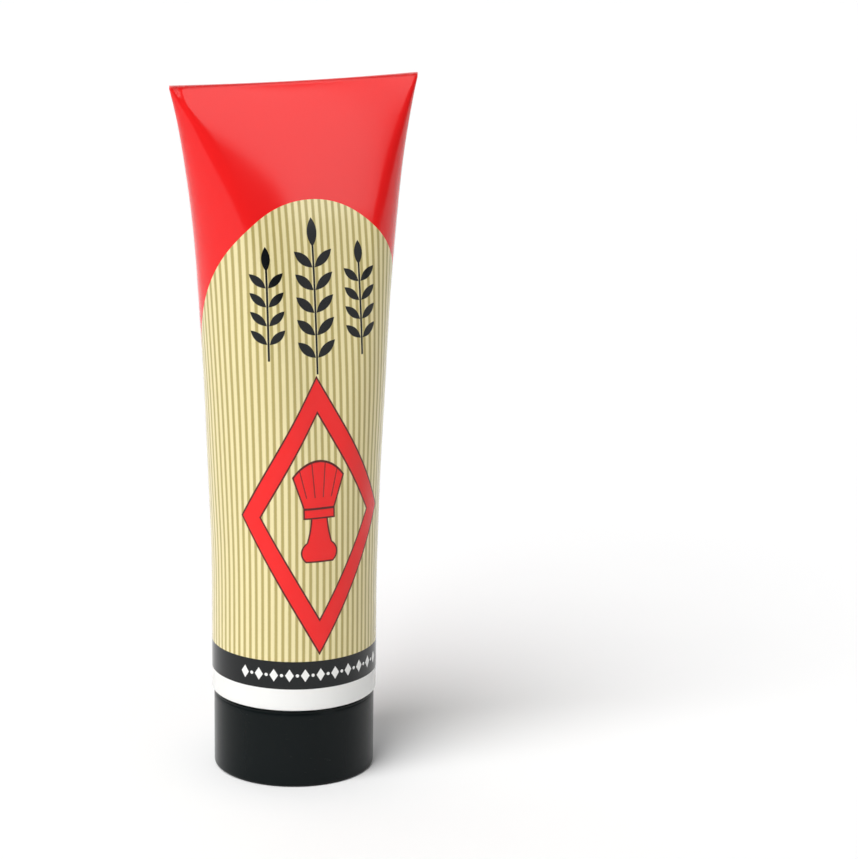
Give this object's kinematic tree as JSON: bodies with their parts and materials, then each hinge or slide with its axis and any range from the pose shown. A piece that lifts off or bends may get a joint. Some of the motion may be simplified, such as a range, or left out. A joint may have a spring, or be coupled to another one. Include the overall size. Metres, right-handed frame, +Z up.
{
  "type": "shaving cream tube",
  "caption": "Squeeze tube of shaving cream that stands on its screw cap, with a heat-sealed flat end, a threaded neck and a lined cap that unscrews.",
  "frame": {"origin": "on the tube's axis, in the plane of the cap's foot that the tube stands on", "axes": "+Z up along the tube from the cap to the crimped end, X along the crimp, -Y out of the printed front"},
  "size_m": [0.0596, 0.038, 0.16],
  "materials": {
    "sleeve_print": "gloss",
    "shoulder_plastic": "satin",
    "foil": "satin",
    "cream": "satin",
    "cap_plastic": "gloss",
    "liner_foam": "matte"
  },
  "bodies": {
    "cap": {"screw_cap": "cap_plastic"},
    "liner": {"cap_liner": "liner_foam"},
    "tube": {"tube_sleeve": "sleeve_print", "tube_shoulder": "shoulder_plastic", "foil_seal": "foil", "shaving_cream": "cream"}
  },
  "joints": [
    {"name": "tube_turn", "type": "hinge", "parent": "cap", "child": "liner", "pos_m": [0, 0, 0], "axis": [0, 0, 1], "range_deg": [0, 1440]},
    {"name": "tube_lift", "type": "slide", "parent": "liner", "child": "tube", "axis": [0, 0, 1], "range_m": [0, 0.012]}
  ],
  "couplings": [
    {"joint": "tube_lift", "follows": "tube_turn", "m_per_rad": 0.00047746}
  ]
}
